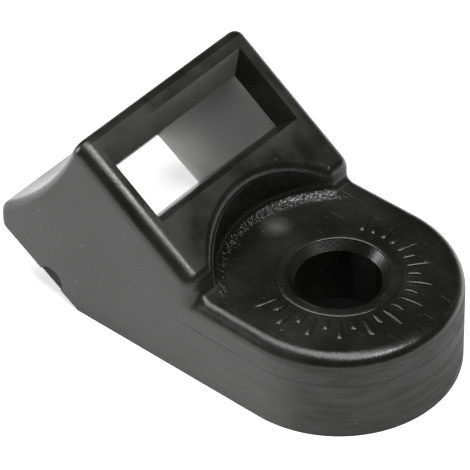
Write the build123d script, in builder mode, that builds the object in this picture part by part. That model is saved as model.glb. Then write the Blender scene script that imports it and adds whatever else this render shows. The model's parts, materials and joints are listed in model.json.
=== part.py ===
from build123d import *
import math
import os

# Screw-down strap mount, moulded in one piece: a round-nosed pad with a screw hole,
# and behind it a sloping wedge that a broad strap passes through, into a saddle
# that cradles the bundle the strap holds.
# Axes: +X towards the pad's nose, +Z up, the base plane at Z = 0, and the origin
# midway between the nose and the tip.  Left and right are as seen from the nose.

# Overall sizes
overall_length = 35.8
overall_width = 19.0
overall_height = 16.9

# Pad and screw hole
pad_height = 7.7
deck_thickness = 5.5
side_wall = 2.6
rim_round = 1.2
hole_diameter = 6.6
hole_chamfer = 0.6
ring_width = 0.9
ring_height = 0.12

# Wedge, measured back from the screw hole's axis
scoop_radius = 9.4
cheek_end_to_hole = 6.4
crest_to_hole = 17.3
heel_to_hole = 18.3
slope_angle = 35.0
underside_angle = 32.0
rail_round = 1.3
scoop_corner_round = 0.8
scoop_edge_round = 1.2
foot_round = 1.1

# Saddle
cradle_radius = 24.0
crest_round = 0.75
tip_round = 1.3

# Strap window, throat and exit
window_margin = 1.7
window_length = 7.0
lead_in_back = 1.4
lead_in_front = 0.6
lead_in_side = 0.9
lead_in_depth = 1.6
exit_margin = 1.5
exit_length = 5.0
back_wall_radius = 36.0
cut_overrun = 1.0

# Gate scar, low on the left flank
gate_to_hole = 21.1
gate_height = 1.65
gate_radius = 1.15
gate_depth = 0.1

# Raised marks on the pad, a plain scale of long and short bars round the hole
mark_inner_radius = 5.1
long_mark_length = 2.1
short_mark_length = 1.2
mark_width = 0.45
mark_height = 0.15
mark_pitch = 10.0
mark_count = 23
first_mark_angle = -110.0

# Worked out from the sizes above
half_length = overall_length / 2
half_width = overall_width / 2
slot_half_width = half_width - side_wall
hole_x = half_length - half_width
hole_radius = hole_diameter / 2
mouth_radius = hole_radius + hole_chamfer
foot_radius = scoop_radius - foot_round
roof_height = pad_height - deck_thickness
cheek_end_x = hole_x - cheek_end_to_hole
crest_x = hole_x - crest_to_hole
heel_x = hole_x - heel_to_hole
pocket_back_x = heel_x + side_wall
on_base = (Align.CENTER, Align.CENTER, Align.MIN)

slope = math.radians(slope_angle)
underside = math.radians(underside_angle)
down_slope = Vector(math.cos(slope), -math.sin(slope))
slope_normal = Vector(math.sin(slope), math.cos(slope))
up_underside = Vector(-math.cos(underside), math.sin(underside))
into_tip = Vector(math.sin(underside), math.cos(underside))


def circle_meeting(centre_a, radius_a, centre_b, radius_b):
    """Return the point at radius_a from centre_a and radius_b from centre_b, on the left."""
    between = centre_b - centre_a
    distance = between.length
    along = (distance**2 + radius_a**2 - radius_b**2) / (2 * distance)
    across = math.sqrt(radius_a**2 - along**2)
    unit = between.normalized()
    return centre_a + unit * along + Vector(-unit.Y, unit.X) * across


def arc_about(centre, radius, start, end):
    """Draw the arc from start to end whose middle faces the way both ends do."""
    outward = ((start - centre).normalized() + (end - centre).normalized()).normalized()
    ThreePointArc(start, centre + outward * radius, end)


# Side outline, in the XZ plane: the crest and the tip are circles, and the cradle is
# an arc that touches both.  The slope is the tangent of the crest's circle.
heel = Vector(heel_x, 0)
crest_centre = Vector(crest_x, overall_height - crest_round)
tip_centre_x = -half_length + tip_round
tip_run = (heel_x + tip_round * into_tip.X - tip_centre_x) / math.cos(underside)
tip_centre = heel + up_underside * tip_run + into_tip * tip_round
cradle_centre = circle_meeting(
    tip_centre, cradle_radius + tip_round, crest_centre, cradle_radius + crest_round
)
cradle_end = tip_centre + (cradle_centre - tip_centre).normalized() * tip_round
tip_side = Vector(-half_length, tip_centre.Y)
tip_end = tip_centre - into_tip * tip_round

slope_start = crest_centre + slope_normal * crest_round
slope_fall = (cheek_end_x - slope_start.X) / math.cos(slope)
cheek_top = slope_start + down_slope * slope_fall

# The sharp corner that the crest's rounding is rolled into
centre_to_slope = (slope_start - cradle_centre).dot(slope_normal)
corner_run = (cradle_centre - slope_start).dot(down_slope)
corner_reach = math.sqrt(cradle_radius**2 - centre_to_slope**2)
crest_corner = slope_start + down_slope * (corner_run + corner_reach)

# Strap channel, in the same plane: straight into the slope, out through the underside
window_back = crest_corner + down_slope * window_margin
window_front = window_back + down_slope * window_length
throat_back = window_back + down_slope * lead_in_back - slope_normal * lead_in_depth
throat_front = window_front - down_slope * lead_in_front - slope_normal * lead_in_depth
exit_back = tip_end - up_underside * exit_margin
exit_front = exit_back - up_underside * exit_length

slope_plane = Plane(
    origin=(slope_start.X, 0, slope_start.Y),
    x_dir=(down_slope.X, 0, down_slope.Y),
    z_dir=(slope_normal.X, 0, slope_normal.Y),
)
rail_direction = Axis((0, 0, 0), slope_plane.x_dir)


def on_slope(point):
    """Say how far down the slope a point of the side outline lies."""
    return (point - slope_start).dot(down_slope)


# The wedge: a prism of its side outline, with rounded rails, cradle edges and crest
with BuildPart() as wedge:
    with BuildSketch(Plane.XZ):
        with BuildLine():
            foot_front = Vector(cheek_end_x, 0)
            foot_back = Vector(-half_length, 0)
            Polyline(crest_corner, cheek_top, foot_front, foot_back, tip_side)
            arc_about(tip_centre, tip_round, tip_side, cradle_end)
            arc_about(cradle_centre, cradle_radius, cradle_end, crest_corner)
        make_face()
    extrude(amount=half_width, both=True)
    fillet(wedge.edges().filter_by(rail_direction), rail_round)
    fillet(wedge.edges().filter_by(Axis.Y).sort_by(Axis.Z)[-1], crest_round)
    # The underside is cut after the rounding, so that its own edges stay sharp
    with BuildSketch(Plane.XZ):
        with BuildLine():
            arc_about(tip_centre, tip_round, tip_side, tip_end)
            Polyline(
                tip_end,
                heel,
                heel - Vector(0, cut_overrun),
                foot_back - Vector(cut_overrun, cut_overrun),
                tip_side - Vector(cut_overrun, 0),
                tip_side,
            )
        make_face()
    extrude(amount=half_width, both=True, mode=Mode.SUBTRACT)
    # The scoop clears the screw's head and its driver
    with BuildSketch(Plane.XY.offset(pad_height)):
        with Locations((hole_x, 0)):
            Circle(scoop_radius)
    extrude(amount=overall_height, mode=Mode.SUBTRACT)
    upright = wedge.edges().filter_by(Axis.Z)
    fillet(upright.filter_by_position(Axis.Y, -scoop_radius, scoop_radius), scoop_corner_round)
    sloping = wedge.faces().filter_by(Axis((0, 0, 0), slope_plane.z_dir)).sort_by(Axis.Z)[-1]
    level = sloping.edges().filter_by(rail_direction, reverse=True)
    fillet(level.filter_by_position(Axis.X, window_front.X, half_length), scoop_edge_round)

# The strap's way through: a flared window, then a throat that bends with the cradle
with BuildPart() as strap_way:
    with BuildSketch(Plane.XZ):
        past_exit = into_tip * -cut_overrun
        with BuildLine():
            Polyline(
                throat_back,
                throat_front,
                exit_front,
                exit_front + past_exit,
                exit_back + past_exit,
                exit_back,
            )
            RadiusArc(exit_back, throat_back, back_wall_radius)
        make_face()
    extrude(amount=slot_half_width, both=True)
    with BuildSketch(slope_plane):
        with Locations(((on_slope(window_back) + on_slope(window_front)) / 2, 0)):
            Rectangle(window_length, (slot_half_width + lead_in_side) * 2)
    with BuildSketch(slope_plane.offset(-lead_in_depth)):
        with Locations(((on_slope(throat_back) + on_slope(throat_front)) / 2, 0)):
            Rectangle(on_slope(throat_front) - on_slope(throat_back), slot_half_width * 2)
    loft()

# The whole moulding, before it is divided at its walls
with BuildPart() as moulding:
    with BuildSketch():
        with Locations((hole_x, 0)):
            Circle(half_width)
        with Locations(((hole_x + crest_x) / 2, 0)):
            Rectangle(hole_x - crest_x, overall_width)
    extrude(amount=pad_height)
    pad_rim = moulding.edges().group_by(Axis.Z)[-1].filter_by(Axis.Y, reverse=True)
    fillet(pad_rim, rim_round)
    add(wedge.part)
    pad_top = moulding.faces().filter_by(Axis.Z).sort_by(Axis.Z)[-1]
    foot = pad_top.edges().filter_by_position(Axis.X, -half_length, cheek_end_x + foot_round)
    fillet(foot, foot_round)
    add(strap_way.part, mode=Mode.SUBTRACT)
    # The pocket under the pad leaves a deck on a skirt of even thickness
    with BuildSketch():
        with Locations((hole_x, 0)):
            Circle(slot_half_width)
        with Locations(((hole_x + pocket_back_x) / 2, 0)):
            Rectangle(hole_x - pocket_back_x, slot_half_width * 2)
    extrude(amount=roof_height, mode=Mode.SUBTRACT)
    with Locations((hole_x, 0, pad_height)):
        Hole(hole_radius)
    with Locations((hole_x, 0, pad_height - hole_chamfer)):
        Cone(hole_radius, mouth_radius, hole_chamfer, align=on_base, mode=Mode.SUBTRACT)


def keep_between(low, high):
    """Keep what lies inside a box, given by its lowest and highest corners."""
    size = Vector(*high) - Vector(*low)
    with Locations(low):
        Box(size.X, size.Y, size.Z, align=(Align.MIN,) * 3, mode=Mode.INTERSECT)


def keep_pad_plan(bottom, top):
    """Keep what lies within the scoop's foot and ahead of the cheeks, between two heights."""
    with BuildSketch(Plane.XY.offset(bottom)) as plan:
        with Locations((hole_x, 0)):
            Circle(foot_radius)
        with Locations(((cheek_end_x + half_length) / 2, 0)):
            Rectangle(half_length - cheek_end_x, overall_width)
    extrude(plan.sketch, amount=top - bottom, mode=Mode.INTERSECT)


throat_middle = (throat_back + throat_front) / 2
exit_middle = (exit_back + exit_front) / 2
way_up = (throat_middle - exit_middle).normalized()
strap_plane = Plane(origin=(throat_middle.X, 0, throat_middle.Y), z_dir=(way_up.Y, 0, -way_up.X))
throat_plane = slope_plane.offset(-lead_in_depth)
tip_plane = Plane(origin=(cradle_end.X, 0, cradle_end.Y), z_dir=slope_plane.z_dir)

# The deck, with the screw hole through it
with BuildPart() as mounting_pad:
    add(moulding.part)
    keep_pad_plan(roof_height, overall_height)
mounting_pad.part.label = "mounting_pad"

# The skirt that carries the deck, round the nose and back to the cheeks
with BuildPart() as base_skirt:
    add(moulding.part)
    keep_between((cheek_end_x, -half_width, 0), (half_length, half_width, roof_height))
base_skirt.part.label = "base_skirt"

# The cheeks, one each side of the strap's way, full height
with BuildPart() as right_cheek:
    add(moulding.part)
    keep_between((-half_length, slot_half_width, 0), (cheek_end_x, half_width, overall_height))
right_cheek.part.label = "right_cheek"

with BuildPart() as left_cheek:
    mirror(right_cheek.part, about=Plane.XZ)
    # The scar that the gate leaves on this flank alone
    with BuildSketch(Plane.XZ.offset(half_width - gate_depth)):
        with Locations((hole_x - gate_to_hole, gate_height)):
            Circle(gate_radius)
    extrude(amount=gate_depth, mode=Mode.SUBTRACT)
left_cheek.part.label = "left_cheek"

# What stands between the cheeks
with BuildPart() as middle:
    add(moulding.part)
    keep_between(
        (-half_length, -slot_half_width, 0), (cheek_end_x, slot_half_width, overall_height)
    )

# The web between the scoop and the strap, over the pocket
with BuildPart() as front_web:
    add(middle.part)
    with BuildSketch(Plane.XY.offset(roof_height)):
        with Locations((hole_x, 0)):
            Circle(foot_radius)
    extrude(amount=overall_height, mode=Mode.SUBTRACT)
    split(bisect_by=strap_plane, keep=Keep.TOP)
    split(bisect_by=Plane.XY.offset(roof_height), keep=Keep.TOP)
front_web.part.label = "front_web"

# The wall that closes the pocket's back
with BuildPart() as heel_wall:
    add(middle.part)
    split(bisect_by=strap_plane, keep=Keep.TOP)
    split(bisect_by=Plane.XY.offset(roof_height), keep=Keep.BOTTOM)
heel_wall.part.label = "heel_wall"

# The saddle: the bar along the crest, the wall under the cradle and the bar at the tip
with BuildPart() as crest_bar:
    add(middle.part)
    split(bisect_by=strap_plane, keep=Keep.BOTTOM)
    split(bisect_by=throat_plane, keep=Keep.TOP)
crest_bar.part.label = "crest_bar"

with BuildPart() as saddle_wall:
    add(middle.part)
    split(bisect_by=strap_plane, keep=Keep.BOTTOM)
    split(bisect_by=throat_plane, keep=Keep.BOTTOM)
    split(bisect_by=tip_plane, keep=Keep.TOP)
saddle_wall.part.label = "saddle_wall"

with BuildPart() as tip_bar:
    add(middle.part)
    split(bisect_by=strap_plane, keep=Keep.BOTTOM)
    split(bisect_by=tip_plane, keep=Keep.BOTTOM)
tip_bar.part.label = "tip_bar"

# The low ring that the screw's head bears on
with BuildPart() as seat_ring:
    with BuildSketch(Plane.XY.offset(pad_height)):
        with Locations((hole_x, 0)):
            Circle(mouth_radius + ring_width)
            Circle(mouth_radius, mode=Mode.SUBTRACT)
    extrude(amount=ring_height)
seat_ring.part.label = "seat_ring"


def mark_places(first, length):
    """Place every second mark of the scale, centred on its own length."""
    places = []
    for number in range(first, mark_count, 2):
        angle = first_mark_angle + number * mark_pitch
        reach = mark_inner_radius + length / 2
        x = hole_x + reach * math.cos(math.radians(angle))
        y = reach * math.sin(math.radians(angle))
        places.append(Location((x, y, pad_height), (0, 0, angle)))
    return places


# The scale's bars stand on the pad between the seat ring and the rim
with BuildPart() as long_marks:
    with Locations(*mark_places(0, long_mark_length)):
        Box(long_mark_length, mark_width, mark_height, align=on_base)
long_marks.part.label = "long_marks"

with BuildPart() as short_marks:
    with Locations(*mark_places(1, short_mark_length)):
        Box(short_mark_length, mark_width, mark_height, align=on_base)
short_marks.part.label = "short_marks"

os.makedirs("parts", exist_ok=True)
export_step(mounting_pad.part, "parts/mounting_pad.step")
export_step(base_skirt.part, "parts/base_skirt.step")
export_step(left_cheek.part, "parts/left_cheek.step")
export_step(right_cheek.part, "parts/right_cheek.step")
export_step(front_web.part, "parts/front_web.step")
export_step(heel_wall.part, "parts/heel_wall.step")
export_step(crest_bar.part, "parts/crest_bar.step")
export_step(saddle_wall.part, "parts/saddle_wall.step")
export_step(tip_bar.part, "parts/tip_bar.step")
export_step(seat_ring.part, "parts/seat_ring.step")
export_step(long_marks.part, "parts/long_marks.step")
export_step(short_marks.part, "parts/short_marks.step")
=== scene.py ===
# Screw-down strap mount moulded in black nylon: the looks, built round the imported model.
import json
import math
import bmesh
import bpy
import numpy as np
from mathutils import Matrix, Vector


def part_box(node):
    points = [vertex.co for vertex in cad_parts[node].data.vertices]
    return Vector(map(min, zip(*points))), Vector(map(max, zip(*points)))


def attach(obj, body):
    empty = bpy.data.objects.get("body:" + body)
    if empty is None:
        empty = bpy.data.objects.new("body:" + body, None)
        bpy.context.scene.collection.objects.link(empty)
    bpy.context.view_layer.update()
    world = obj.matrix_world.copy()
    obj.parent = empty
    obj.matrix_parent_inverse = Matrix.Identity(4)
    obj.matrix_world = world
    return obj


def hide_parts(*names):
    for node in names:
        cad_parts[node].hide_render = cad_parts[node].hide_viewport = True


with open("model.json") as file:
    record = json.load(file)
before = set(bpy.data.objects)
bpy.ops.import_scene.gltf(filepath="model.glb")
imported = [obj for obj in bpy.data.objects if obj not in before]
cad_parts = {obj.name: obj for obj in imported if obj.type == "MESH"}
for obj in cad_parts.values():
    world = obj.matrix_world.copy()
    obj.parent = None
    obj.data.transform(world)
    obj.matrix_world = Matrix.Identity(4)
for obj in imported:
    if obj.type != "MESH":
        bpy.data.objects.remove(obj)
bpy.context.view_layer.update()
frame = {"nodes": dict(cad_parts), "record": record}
mounts = {m["name"]: m for m in frame["record"]["mounts"]}
holePlace = Vector(mounts["screw_hole"]["pos_m"])
holeX = holePlace.x
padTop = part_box("seat_ring")[0].z
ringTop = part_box("seat_ring")[1].z
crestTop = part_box("crest_bar")[1].z
slopeAngle = math.radians(35)  # how far the wedge's top leans from level
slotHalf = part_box("crest_bar")[1].y
print("frame loaded:", len(frame["nodes"]), "nodes")


# One socket of a material, so that shader maths reads as plain arithmetic
class Wire:
    def __init__(self, paint, socket):
        self.paint, self.socket = paint, socket

    def maths(self, operation, other=0.0):
        return self.paint.node("ShaderNodeMath", {"operation": operation}, {0: self, 1: other})

    def __add__(self, other):
        return self.maths("ADD", other)

    def __sub__(self, other):
        return self.maths("SUBTRACT", other)

    def __rsub__(self, other):
        return self * -1.0 + other

    def __mul__(self, other):
        return self.maths("MULTIPLY", other)

    def __pow__(self, other):
        return self.maths("POWER", other)

    def __abs__(self):
        return self.maths("ABSOLUTE")

    __radd__, __rmul__ = __add__, __mul__

    # 0 below low, 1 above high and a smooth rise between them
    def rise(self, low, high):
        return self.paint.node("ShaderNodeMapRange", {"interpolation_type": "SMOOTHSTEP"},
                               {"Value": self, "From Min": low, "From Max": high})

    # 1 inside a band about the middle, fading to 0 at its edge
    def band(self, middle, half, fade):
        return 1 - abs(self - middle).rise(half, half + fade)


# A material under construction: node() makes any node, sets it up, then feeds its sockets
class Paint:
    def __init__(self, name):
        self.material = bpy.data.materials.new(name)
        self.material.use_nodes = True
        self.tree = self.material.node_tree
        self.shader = self.tree.nodes["Principled BSDF"]
        self.place = self.node("ShaderNodeTexCoord", {}, {}, "Object")
        self.normal = self.node("ShaderNodeNewGeometry", {}, {}, "Normal")

    def feed(self, target, value):
        if isinstance(value, Wire):
            self.tree.links.new(value.socket, target)
        else:
            target.default_value = value

    def node(self, kind, settings, inputs, output=0):
        made = self.tree.nodes.new(kind)
        for name, value in settings.items():
            setattr(made, name, value)
        for name, value in inputs.items():
            self.feed(made.inputs[name], value)
        return Wire(self, made.outputs[output])

    def axes(self, vector):
        split = self.node("ShaderNodeSeparateXYZ", {}, {0: vector}).socket.node
        return [Wire(self, out) for out in split.outputs]

    def moved(self, location, turn, scale):
        return self.node("ShaderNodeMapping", {"vector_type": "POINT"},
                         {"Vector": self.place, "Location": location, "Rotation": turn, "Scale": scale})

    def noise(self, vector, scale, detail, rough=0.5):
        return self.node("ShaderNodeTexNoise", {}, {"Vector": vector, "Scale": scale, "Detail": detail,
                                                    "Roughness": rough})

    def blend(self, factor, first, second):
        mix = self.node("ShaderNodeMix", {"data_type": "RGBA"}, {0: factor}, 2)
        self.feed(mix.socket.node.inputs[6], first)
        self.feed(mix.socket.node.inputs[7], second)
        return mix


# Black nylon, in metres. Faces are told apart by their normals, and marks by where they lie
# The flanks' grey is partly matt texture and partly painted light; the strap's way's pale grey is painted
# light; the pale dust colour is dust and wear, and also painted sheen and light on the slope, the pad and
# the lead-in
nylon = {"dark": (0.0045, 0.0047, 0.0040, 1), "grey": (0.030, 0.030, 0.029, 1),
         "channelPaintedLight": (0.42, 0.42, 0.415, 1), "dustAndPaintedLight": (0.19, 0.19, 0.18, 1),
         "black": (0.003, 0.003, 0.003, 1), "mattRoughness": 0.60, "satinRoughness": 0.29, "ior": 1.53,
         "flankFacing": (0.90, 0.995), "upFacing": (0.75, 0.97), "paintedNoseShade": (0.002, 0.016),
         "flowSize": 0.006, "grainSize": 0.00016, "grainDepth": 0.000028,
         "moundSize": 0.0011, "moundDepth": 0.00002}

# Marks on the pad's top, and a painted sheen behind the hole. Scuffs are angle, width, length, share and
# seed, and fade past the hole
padMarks = {"level": (0.0003, 0.0002), "scuffFade": (-0.003, 0.004),
            "scuffs": ((28, 0.00008, 0.0030, 0.74, 3.1), (44, 0.00007, 0.0022, 0.75, 7.7),
                       (100, 0.00007, 0.0016, 0.77, 11.3)),
            "sheenBack": 0.0073, "sheenAcross": 0.0012, "sheenRadius": 0.0017}
footBand = {"reach": 0.0088, "half": 0.0001, "fade": 0.0003, "heightHalf": 0.0005, "heightFade": 0.0004,
            "front": (-0.006, -0.0045), "pitSize": 0.00032, "pitDepth": 0.00005}

# Marks of the mould and of dust; the gate scar's darkness is painted shade
gateScar = {"back": 0.0211, "height": 0.00165, "radius": 0.00115, "edge": 0.00008,
            "inward": (-0.0091, -0.0089), "tearSize": (0.00022, 0.0006, 0.0009),
            "tearTurn": -25, "tearDepth": 0.00022}
partingLine = {"height": 0.0052, "half": 0.00007, "fade": 0.00004, "from": (0.0, 0.002), "depth": 0.00004}
specks = {"size": 0.0009, "share": 0.11, "radius": (0.05, 0.11)}

# Where the colour or the gloss differs: painted light in the strap's way, dust and painted sheen on the
# slope, painted light on the window's lead-in, the nose's wall
channel = {"skin": (0.0001, 0.0003), "front": (-0.0045, -0.0015)}
slopeDustAndSheen = {"spread": (0.06, 0.05), "rise": (0.003, 0.0085), "strength": 0.17}
leadInPaintedLight = {"facing": (0.975, 0.99), "front": (-0.005, -0.003), "rise": (0.002, 0.003), "strength": 0.28}
noseWall = {"facing": (0.2, 0.4), "from": (-0.002, 0.006), "boreEdge": (0.0045, 0.0060),
            "streak": (0.004, 0.004, 0.0006), "strength": 0.06}


# Thin straight scuffs: noise drawn out along one direction, of which only the peaks show
def scuffMask(p, x, onPad):
    total = 0.0
    for angle, width, length, share, seed in padMarks["scuffs"]:
        turn, scale = (0, 0, math.radians(angle)), (1 / length, 1 / width, 1 / length)
        drawn = p.moved((seed, seed * 0.7, 0), turn, scale)
        total = p.noise(drawn, 1.0, 1.0).rise(share, share + 0.04) + total
    return total * onPad * (1 - (x - holeX).rise(*padMarks["scuffFade"]) * 0.7)


# A painted sheen on the pad behind the hole, strongest at its middle; the pad is also duller there
def paintedSheenMask(x, y, onPad):
    away = ((x - holeX + padMarks["sheenBack"]) ** 2 + (y - padMarks["sheenAcross"]) ** 2) ** 0.5
    return (1 - away.rise(0.0, padMarks["sheenRadius"])) * onPad


# The foot of the scoop, rough from the cutter: an arc about the hole, behind it
def footMask(x, z, reach):
    f = footBand
    low = z.band(padTop, f["heightHalf"], f["heightFade"])
    return reach.band(f["reach"], f["half"], f["fade"]) * low * (1 - (x - holeX).rise(*f["front"]))


# The gate scar, a torn disc low on the left flank, painted darker as painted shade
def scarAndShadeMask(x, y, z):
    g = gateScar
    away = ((x - holeX + g["back"]) ** 2 + (z - g["height"]) ** 2) ** 0.5
    return (1 - away.rise(g["radius"] - g["edge"], g["radius"] + g["edge"])) * (1 - y.rise(*g["inward"]))


# Specks of dust: the centres of a few scattered cells
def speckMask(p):
    cells = {"Vector": p.place, "Scale": 1 / specks["size"]}
    middle = p.node("ShaderNodeTexVoronoi", {}, cells, "Distance")
    chance = p.axes(p.node("ShaderNodeTexVoronoi", {}, cells, "Color"))[0]
    chosen = 1 - chance.rise(specks["share"] * 0.9, specks["share"] * 1.1)
    return (1 - middle.rise(*specks["radius"])) * chosen


# Dust and painted sheen on the slope, paler towards the crest
def dustAndSheenMask(nx, z, nz, flow):
    h = slopeDustAndSheen
    slope = nx.band(math.sin(slopeAngle), *h["spread"]) * nz.band(math.cos(slopeAngle), *h["spread"])
    return slope * ((z - padTop).rise(*h["rise"]) * 0.35 + flow * 0.65)


def nylonPaint(name):
    p, n = Paint(name), nylon
    x, y, z = p.axes(p.place)
    nx, ny, nz = p.axes(p.normal)
    flank = abs(ny).rise(*n["flankFacing"])
    upward = nz.rise(*n["upFacing"])
    reach = ((x - holeX) ** 2 + y ** 2) ** 0.5
    outside = reach.rise(*noseWall["boreEdge"])
    onPad = z.band(padTop, *padMarks["level"]) * upward

    flow = p.noise(p.place, 1 / n["flowSize"], 3.0, 0.6).rise(0.35, 0.68)
    grain = p.noise(p.place, 1 / n["grainSize"], 2.0, 0.6)
    mound = p.noise(p.place, 1 / n["moundSize"], 2.0, 0.5)
    pits = p.noise(p.place, 1 / footBand["pitSize"], 2.0, 0.6).rise(0.42, 0.62)
    tearScale = tuple(1 / side for side in gateScar["tearSize"])
    torn = p.noise(p.moved((0, 0, 0), (0, math.radians(gateScar["tearTurn"]), 0), tearScale), 1.0, 2.0, 0.6)
    streakScale = tuple(1 / side for side in noseWall["streak"])
    streak = p.noise(p.moved((0, 0, 0), (0, 0, 0), streakScale), 1.0, 3.0, 0.65).rise(0.40, 0.66)

    scuff, paintedSheenPatch, foot = scuffMask(p, x, onPad), paintedSheenMask(x, y, onPad), footMask(x, z, reach)
    scarAndShade, speck = scarAndShadeMask(x, y, z), speckMask(p)
    line = z.band(partingLine["height"], partingLine["half"], partingLine["fade"])
    parting = line * (1 - upward) * x.rise(*partingLine["from"]) * outside
    wall = (1 - abs(nz).rise(*noseWall["facing"])) * x.rise(*noseWall["from"]) * outside
    paintedLightInChannel = flank * (1 - (abs(y) - slotHalf).rise(*channel["skin"])) * (1 - x.rise(*channel["front"]))
    # The window's lead-in, painted paler as painted light
    paintedLeadInLight = nx.rise(*leadInPaintedLight["facing"]) * (1 - x.rise(*leadInPaintedLight["front"]))
    paintedLeadInLight = paintedLeadInLight * (z - padTop).rise(*leadInPaintedLight["rise"])

    # The flanks are painted grey, partly for their matt texture and partly as painted light; the grey fades
    # towards the nose as painted shade
    mattAndPaintedLight = flank * (1 - x.rise(*n["paintedNoseShade"]) * 0.75)
    colour = p.blend(flow * 0.25 + mattAndPaintedLight * 0.75, n["dark"], n["grey"])
    # The strap's way's inner faces are painted pale grey as painted light
    colour = p.blend(paintedLightInChannel, colour, n["channelPaintedLight"])
    # The slope is painted paler: partly dust, partly painted sheen
    colour = p.blend(dustAndSheenMask(nx, z, nz, flow) * slopeDustAndSheen["strength"], colour, n["dustAndPaintedLight"])
    # The window's lead-in is painted paler as painted light
    colour = p.blend(paintedLeadInLight * leadInPaintedLight["strength"], colour, n["dustAndPaintedLight"])
    # The pad behind the hole is painted paler as painted sheen
    colour = p.blend(paintedSheenPatch * 0.35 * (0.4 + flow), colour, n["dustAndPaintedLight"])
    colour = p.blend(scuff * 0.3 + speck * (0.25 + 0.5 * flow), colour, n["dustAndPaintedLight"])
    # The gate scar is painted near black as painted shade; the parting line is a dark line
    colour = p.blend(parting * 0.8 + scarAndShade * 0.9, colour, n["black"])
    colour = p.blend(wall * streak * noseWall["strength"], colour, n["dustAndPaintedLight"])
    p.feed(p.shader.inputs["Base Color"], colour)

    # The nose's wall is rubbed dull in level streaks
    rough = n["satinRoughness"] + flank * (n["mattRoughness"] - n["satinRoughness"]) \
        + wall * (0.34 + 0.24 * streak) * (1 - flank) + (flow - 0.5) * 0.08 + (grain - 0.5) * 0.14 \
        + scuff * 0.12 + paintedSheenPatch * 0.2 + scarAndShade * 0.3
    p.feed(p.shader.inputs["Roughness"], rough)
    p.shader.inputs["IOR"].default_value = n["ior"]

    height = grain * n["grainDepth"] * (0.35 + flank) + mound * n["moundDepth"] * (1 - flank * 0.5) \
        - parting * partingLine["depth"] + scuff * 0.00001 + foot * pits * footBand["pitDepth"] \
        + scarAndShade * torn * gateScar["tearDepth"]
    bump = p.node("ShaderNodeBump", {}, {"Height": height, "Distance": 1.0, "Strength": 1.0})
    p.feed(p.shader.inputs["Normal"], bump)
    return p.material


blackNylon = nylonPaint("blackNylon")
smoothing = {"weld": 1e-6, "edgeAngle": 25}
for node in frame["nodes"].values():
    node.data.materials.clear()
    node.data.materials.append(blackNylon)
    node.data.polygons.foreach_set("use_smooth", [True] * len(node.data.polygons))
    weld = node.modifiers.new("weld", "WELD")
    weld.merge_threshold = smoothing["weld"]
    split = node.modifiers.new("edges", "EDGE_SPLIT")
    split.split_angle = math.radians(smoothing["edgeAngle"])
    even = node.modifiers.new("normals", "WEIGHTED_NORMAL")
    even.keep_sharp = True
print("nylon on the moulding")


# Raised pieces on the pad. Each is a closed grid of points: rows run one way, columns wrap round
def closedGrid(points, wrapRows=False):
    rows, columns = points.shape[:2]
    index = np.arange(rows * columns).reshape(rows, columns)
    lower = index if wrapRows else index[:-1]
    upper = np.roll(index, -1, 0) if wrapRows else index[1:]
    faces = np.stack([lower, np.roll(lower, -1, 1), np.roll(upper, -1, 1), upper], -1).reshape(-1, 4)
    return points.reshape(-1, 3), faces


def makePiece(name, parts, replaced):
    starts = np.cumsum([0] + [len(corners) for corners, _ in parts])
    points = np.concatenate([corners for corners, _ in parts])
    faces = np.concatenate([quads + start for (_, quads), start in zip(parts, starts)])
    mesh = bpy.data.meshes.new(name)
    mesh.from_pydata(points.tolist(), [], faces.tolist())
    mesh.polygons.foreach_set("use_smooth", [True] * len(mesh.polygons))
    work = bmesh.new()
    work.from_mesh(mesh)
    bmesh.ops.remove_doubles(work, verts=work.verts, dist=1e-8)
    bmesh.ops.dissolve_degenerate(work, edges=work.edges, dist=1e-9)
    bmesh.ops.recalc_face_normals(work, faces=work.faces)
    work.to_mesh(mesh)
    work.free()
    piece = bpy.data.objects.new(name, mesh)
    bpy.context.scene.collection.objects.link(piece)
    mesh.materials.append(blackNylon)
    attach(piece, "root")
    if replaced:
        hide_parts(replaced)


def signedPower(value, power):
    return np.sign(value) * np.abs(value) ** power


# A bar is a superellipsoid, long, narrow and low, whose lower half is sunk in the pad
scaleBars = {"innerRadius": 0.0051, "long": 0.0021, "short": 0.0012, "width": 0.00046, "height": 0.00017,
             "pitch": 10, "count": 23, "firstAngle": -110, "ends": 0.45, "crown": 0.85}


def barGrid(b, number, length):
    theta = np.linspace(0, 2 * np.pi, 40, endpoint=False)[None, :]
    phi = np.linspace(-np.pi / 2, np.pi / 2, 15)[:, None]
    ring = np.abs(np.cos(phi)) ** b["crown"]
    along = length / 2 * ring * signedPower(np.cos(theta), b["ends"])
    across = b["width"] / 2 * ring * signedPower(np.sin(theta), b["ends"])
    up = b["height"] * signedPower(np.sin(phi), b["crown"]) + 0 * theta
    angle = math.radians(b["firstAngle"] + number * b["pitch"])
    out = b["innerRadius"] + length / 2 + along
    x = holeX + out * math.cos(angle) - across * math.sin(angle)
    y = out * math.sin(angle) + across * math.cos(angle)
    return closedGrid(np.stack([x, y, padTop + up], -1))


for name, first, key in (("long_marks", 0, "long"), ("short_marks", 1, "short")):
    bars = [barGrid(scaleBars, k, scaleBars[key]) for k in range(first, scaleBars["count"], 2)]
    makePiece("soft_" + name, bars, name)

# The seat ring is a flattened round profile turned about the hole, half sunk in the pad
seatRing = {"inner": 0.00392, "outer": 0.0048, "squareness": 0.6}


def ringGrid(r):
    turn = np.linspace(0, 2 * np.pi, 160, endpoint=False)[:, None]
    t = np.linspace(0, 2 * np.pi, 32, endpoint=False)[None, :]
    middle, half = (r["inner"] + r["outer"]) / 2, (r["outer"] - r["inner"]) / 2
    radius = middle + half * signedPower(np.cos(t), r["squareness"])
    up = (ringTop - padTop) * signedPower(np.sin(t), r["squareness"]) + 0 * turn
    x, y = holeX + radius * np.cos(turn), radius * np.sin(turn)
    return closedGrid(np.stack([x, y, padTop + up], -1), True)


makePiece("soft_seat_ring", [ringGrid(seatRing)], "seat_ring")

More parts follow.
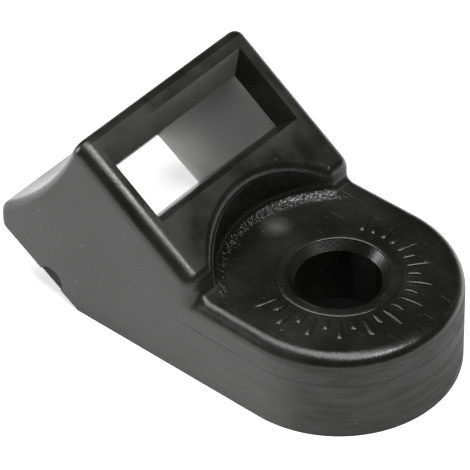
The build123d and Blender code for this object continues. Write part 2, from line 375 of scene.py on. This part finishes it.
# The witness line at the top of the scoop's wall: a thin thread that tapers out at both ends.
# It follows the circle on which the edge's rounding is centred, down the slope's plane,
# on which sin(angle) x + cos(angle) z is the same everywhere, as at the crest's rounding
witness = {"wallRadius": 0.0094, "edgeRound": 0.0012, "crestBack": 0.0173,
           "crestRound": 0.00075, "thread": 0.00004, "from": 140.0, "to": 232.0, "steps": 120}


def witnessGrid(w):
    sine, cosine = math.sin(slopeAngle), math.cos(slopeAngle)
    level = sine * (holeX - w["crestBack"]) + cosine * (crestTop - w["crestRound"]) + w["crestRound"]
    turn = np.radians(np.linspace(w["from"], w["to"], w["steps"]))[:, None]
    t = np.linspace(0, 2 * np.pi, 12, endpoint=False)[None, :]
    centreX = holeX + (w["wallRadius"] + w["edgeRound"]) * np.cos(turn)
    centreZ = (level - w["edgeRound"] - sine * centreX) / cosine
    thread = w["thread"] * np.sin(np.linspace(0, np.pi, w["steps"]))[:, None] ** 0.4
    radius = w["wallRadius"] + thread * np.cos(t)
    x, y = holeX + radius * np.cos(turn), radius * np.sin(turn)
    return closedGrid(np.stack([x, y, centreZ + thread * np.sin(t)], -1))


makePiece("scoop_witness_line", [witnessGrid(witness)], None)
print("raised pieces made")


# Camera: a long lens that looks down on the pad's nose and the window's left side
camera = {"azimuth": 41.714, "elevation": 41.515, "roll": -1.577,
          "distance": 0.264650, "lens": 265.77, "across": -0.007924, "up": 0.008670}


def makeCamera(c):
    a, e, r = (math.radians(c[k]) for k in ("azimuth", "elevation", "roll"))
    back = Vector((math.sin(a) * math.cos(e), -math.cos(a) * math.cos(e), math.sin(e)))
    right = Vector((math.cos(a), math.sin(a), 0))
    up = back.cross(right)
    right, up = right * math.cos(r) + up * math.sin(r), up * math.cos(r) - right * math.sin(r)
    data = bpy.data.cameras.new("camera")
    data.lens, data.sensor_width = c["lens"], 36
    data.clip_start, data.clip_end = 0.01, 10
    cam = bpy.data.objects.new("camera", data)
    bpy.context.scene.collection.objects.link(cam)
    cam.rotation_mode = "QUATERNION"
    cam.rotation_quaternion = Matrix((right, up, back)).transposed().to_quaternion()
    foot = Vector((holePlace.x, holePlace.y, 0))
    cam.location = foot + back * c["distance"] + right * c["across"] + up * c["up"]
    bpy.context.scene.camera = cam


makeCamera(camera)

# Studio: a pale floor that glows a little, a dim room and soft boxes
studio = {"floorSide": 3.0, "floorColour": (0.9, 0.9, 0.9, 1), "floorRoughness": 0.9, "floorGlow": 0.55,
          "pocketPaintedShade": (0.01, 0.01, 0.01, 1), "pocketEdge": (0.0010, 0.0016),
          "white": (1, 1, 1, 1), "room": 0.05, "aimHeight": 0.008,
          "boxes": {"overhead": {"at": (0.00, -0.03, 0.6), "size": (0.78, 0.32), "watts": 4.6},
                    "rail": {"at": (0.36, 0.06, 0.60), "size": (0.14, 0.14), "watts": 1.3},
                    "leftFloor": {"at": (-0.42, -0.26, 0.20), "size": (0.20, 0.20), "watts": 1.4}}}


# No light reaches the floor inside the pocket, so it is painted dark there as painted shade: a half circle
# about the hole, and straight behind it
def floorPaint(s):
    paint = Paint("paleFloor")
    x, y, _ = paint.axes(paint.place)
    near, far = s["pocketEdge"]
    side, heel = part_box("base_skirt")[1].y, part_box("heel_wall")[0].x
    ahead = ((x - holeX) + abs(x - holeX)) * 0.5
    within = 1 - (ahead ** 2 + y ** 2).rise((side - far) ** 2, (side - near) ** 2)
    inside = within * (x - heel).rise(near, far)
    paint.feed(paint.shader.inputs["Base Color"], paint.blend(inside, s["floorColour"], s["pocketPaintedShade"]))
    paint.feed(paint.shader.inputs["Emission Color"], paint.blend(inside, s["white"], s["pocketPaintedShade"]))
    paint.shader.inputs["Emission Strength"].default_value = s["floorGlow"]
    paint.shader.inputs["Roughness"].default_value = s["floorRoughness"]
    return paint.material


def makeFloor(s):
    half = s["floorSide"] / 2
    corners = [(-half, -half, 0), (half, -half, 0), (half, half, 0), (-half, half, 0)]
    mesh = bpy.data.meshes.new("floor")
    mesh.from_pydata(corners, [], [(0, 1, 2, 3)])
    mesh.materials.append(floorPaint(s))
    floor = bpy.data.objects.new("floor", mesh)
    bpy.context.scene.collection.objects.link(floor)


def makeRoom(s):
    world = bpy.data.worlds.new("room")
    bpy.context.scene.world = world
    world.use_nodes = True
    background = world.node_tree.nodes["Background"]
    background.inputs["Color"].default_value = s["white"]
    background.inputs["Strength"].default_value = s["room"]
    bpy.context.scene.view_settings.view_transform = "Standard"


def makeLamp(name, box, aimHeight):
    data = bpy.data.lights.new(name, "AREA")
    data.shape = "RECTANGLE"
    data.size, data.size_y = box["size"]
    data.energy = box["watts"]
    lamp = bpy.data.objects.new(name, data)
    lamp.location = box["at"]
    away = Vector(box["at"]) - Vector((holeX / 2, 0, aimHeight))
    lamp.rotation_mode = "QUATERNION"
    lamp.rotation_quaternion = away.to_track_quat("Z", "Y")
    bpy.context.scene.collection.objects.link(lamp)


makeFloor(studio)
makeRoom(studio)
for name, box in studio["boxes"].items():
    makeLamp(name, box, studio["aimHeight"])
print("studio and camera set")
